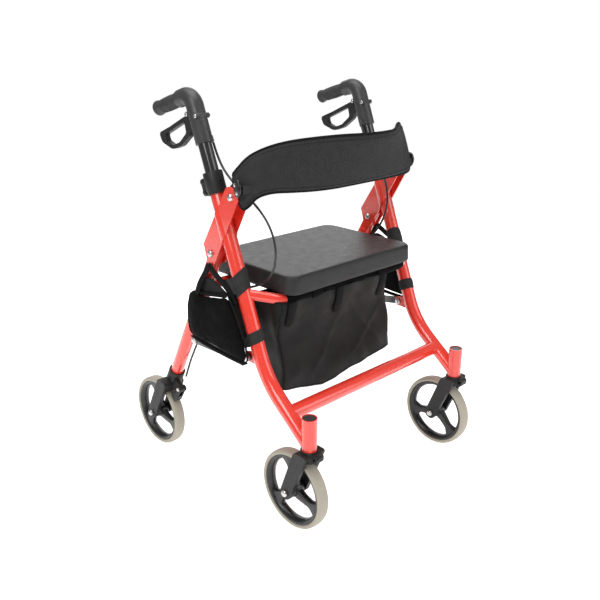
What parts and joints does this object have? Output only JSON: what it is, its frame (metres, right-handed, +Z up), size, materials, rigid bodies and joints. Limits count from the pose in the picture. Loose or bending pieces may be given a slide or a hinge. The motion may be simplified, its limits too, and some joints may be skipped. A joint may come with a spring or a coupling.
{
  "type": "rollator walker",
  "caption": "Folding rollator walker with swivel front casters, padded flip-up seat, curved backrest band, under-seat bag, side pockets and loop brakes on height-adjustable handles.",
  "frame": {"origin": "on the floor at the centre of the bounding box, midway between the four wheels", "axes": "+Z up; -Y is the walking direction (front casters), +Y the rear (user side); +X is the user's left"},
  "size_m": [0.586, 0.6614, 0.882],
  "materials": {
    "frame_red": "gloss red powder coat",
    "post_black": "gloss black",
    "dark_plastic": "satin moulded nylon",
    "wheel_plastic": "satin",
    "tyre": "matt beige-grey polyurethane",
    "grip_rubber": "matt",
    "steel": "zinc plated",
    "vinyl": "grained dark vinyl",
    "board": "matt",
    "band": "charcoal woven cover",
    "nylon": "black coated nylon",
    "cable": "satin black sheath"
  },
  "bodies": {
    "frame": {"right_front_leg": "frame_red", "left_front_leg": "frame_red", "right_head_tube": "frame_red", "left_head_tube": "frame_red", "right_outer_plate": "frame_red", "left_outer_plate": "frame_red", "right_inner_plate": "frame_red", "left_inner_plate": "frame_red", "right_height_clamp": "dark_plastic", "left_height_clamp": "dark_plastic", "right_side_pocket": "nylon", "left_side_pocket": "nylon", "right_brake_cable": "cable", "left_brake_cable": "cable", "front_crossbar": "frame_red", "seat_tube": "frame_red", "headset_plastics": "dark_plastic", "frame_bolts": "steel", "leg_straps": "nylon", "underseat_bag": "nylon"},
    "rear_frame": {"right_rear_leg": "frame_red", "left_rear_leg": "frame_red", "right_rear_fork": "dark_plastic", "left_rear_fork": "dark_plastic", "rear_crossbar": "frame_red", "rear_bolts": "steel"},
    "front_links": {"front_brace_links": "post_black"},
    "rear_links": {"rear_brace_links": "post_black"},
    "seat": {"seat_pad": "vinyl", "seat_board": "board", "seat_clips": "dark_plastic"},
    "backrest": {"backrest_pad": "band", "right_backrest_bracket": "dark_plastic", "left_backrest_bracket": "dark_plastic"},
    "right_handle": {"right_handle_post": "post_black", "right_handle_body": "dark_plastic", "right_handle_screws": "steel", "right_grip": "grip_rubber"},
    "right_lever": {"right_brake_lever": "dark_plastic"},
    "right_knob": {"right_clamp_knob": "dark_plastic"},
    "right_shoe": {"right_brake_shoe": "dark_plastic"},
    "right_caster": {"right_caster_fork": "dark_plastic", "right_caster_axle": "steel"},
    "right_front_wheel": {"right_front_wheel": "wheel_plastic", "right_front_tyre": "tyre"},
    "right_rear_wheel": {"right_rear_wheel": "wheel_plastic", "right_rear_tyre": "tyre"},
    "left_handle": {"left_handle_post": "post_black", "left_handle_body": "dark_plastic", "left_handle_screws": "steel", "left_grip": "grip_rubber"},
    "left_lever": {"left_brake_lever": "dark_plastic"},
    "left_knob": {"left_clamp_knob": "dark_plastic"},
    "left_shoe": {"left_brake_shoe": "dark_plastic"},
    "left_caster": {"left_caster_fork": "dark_plastic", "left_caster_axle": "steel"},
    "left_front_wheel": {"left_front_wheel": "wheel_plastic", "left_front_tyre": "tyre"},
    "left_rear_wheel": {"left_rear_wheel": "wheel_plastic", "left_rear_tyre": "tyre"}
  },
  "joints": [
    {"name": "rear_fold", "type": "hinge", "parent": "frame", "child": "rear_frame", "pos_m": [0, -0.0065, 0.5515], "axis": [-1, 0, 0], "range_deg": [0, 35]},
    {"name": "front_link_turn", "type": "hinge", "parent": "frame", "child": "front_links", "pos_m": [0, -0.1052, 0.345], "axis": [1, 0, 0], "range_deg": [0, 70.4]},
    {"name": "rear_link_turn", "type": "hinge", "parent": "rear_frame", "child": "rear_links", "pos_m": [0, 0.0788, 0.3278], "axis": [-1, 0, 0], "range_deg": [0, 53.7]},
    {"name": "seat_flip", "type": "hinge", "parent": "frame", "child": "seat", "pos_m": [0, -0.152, 0.467], "axis": [1, 0, 0], "range_deg": [0, 55]},
    {"name": "backrest_tilt", "type": "hinge", "parent": "frame", "child": "backrest", "pos_m": [0, -0.0795, 0.681], "axis": [1, 0, 0], "range_deg": [-15, 22]},
    {"name": "right_handle_height", "type": "slide", "parent": "frame", "child": "right_handle", "axis": [0, 0.3584, 0.9336], "range_m": [-0.045, 0.1], "deforming": ["right_brake_cable"]},
    {"name": "right_brake_squeeze", "type": "hinge", "parent": "right_handle", "child": "right_lever", "pos_m": [-0.248, 0.057, 0.83], "axis": [1, 0, 0], "range_deg": [0, 15], "stiffness_Nm_per_rad": 3},
    {"name": "right_shoe_press", "type": "hinge", "parent": "rear_frame", "child": "right_shoe", "pos_m": [-0.258, 0.1456, 0.18031], "axis": [1, 0, 0], "range_deg": [0, 12.1]},
    {"name": "right_knob_turn", "type": "hinge", "parent": "frame", "child": "right_knob", "pos_m": [-0.248, 0.02366, 0.685], "axis": [0, 0.9336, -0.3584], "range_deg": [0, 270]},
    {"name": "right_caster_swivel", "type": "hinge", "parent": "frame", "child": "right_caster", "pos_m": [-0.248, -0.28565, 0.2], "axis": [0, 0, 1], "continuous": true},
    {"name": "right_front_wheel_spin", "type": "hinge", "parent": "right_caster", "child": "right_front_wheel", "pos_m": [-0.248, -0.24325, 0.0875], "axis": [1, 0, 0], "continuous": true},
    {"name": "right_rear_wheel_spin", "type": "hinge", "parent": "rear_frame", "child": "right_rear_wheel", "pos_m": [-0.258, 0.24325, 0.0875], "axis": [1, 0, 0], "continuous": true},
    {"name": "left_handle_height", "type": "slide", "parent": "frame", "child": "left_handle", "axis": [0, 0.3584, 0.9336], "range_m": [-0.045, 0.1], "deforming": ["left_brake_cable"]},
    {"name": "left_brake_squeeze", "type": "hinge", "parent": "left_handle", "child": "left_lever", "pos_m": [0.248, 0.057, 0.83], "axis": [1, 0, 0], "range_deg": [0, 15], "stiffness_Nm_per_rad": 3},
    {"name": "left_shoe_press", "type": "hinge", "parent": "rear_frame", "child": "left_shoe", "pos_m": [0.258, 0.1456, 0.18031], "axis": [1, 0, 0], "range_deg": [0, 12.1]},
    {"name": "left_knob_turn", "type": "hinge", "parent": "frame", "child": "left_knob", "pos_m": [0.248, 0.02366, 0.685], "axis": [0, 0.9336, -0.3584], "range_deg": [0, 270]},
    {"name": "left_caster_swivel", "type": "hinge", "parent": "frame", "child": "left_caster", "pos_m": [0.248, -0.28565, 0.2], "axis": [0, 0, 1], "continuous": true},
    {"name": "left_front_wheel_spin", "type": "hinge", "parent": "left_caster", "child": "left_front_wheel", "pos_m": [0.248, -0.24325, 0.0875], "axis": [1, 0, 0], "continuous": true},
    {"name": "left_rear_wheel_spin", "type": "hinge", "parent": "rear_frame", "child": "left_rear_wheel", "pos_m": [0.258, 0.24325, 0.0875], "axis": [1, 0, 0], "continuous": true}
  ],
  "couplings": [
    {"joint": "front_link_turn", "follows": "rear_fold", "ratio": 2.009},
    {"joint": "rear_link_turn", "follows": "rear_fold", "ratio": 1.531},
    {"joint": "right_shoe_press", "follows": "right_brake_squeeze", "ratio": 0.8},
    {"joint": "left_shoe_press", "follows": "left_brake_squeeze", "ratio": 0.8}
  ]
}
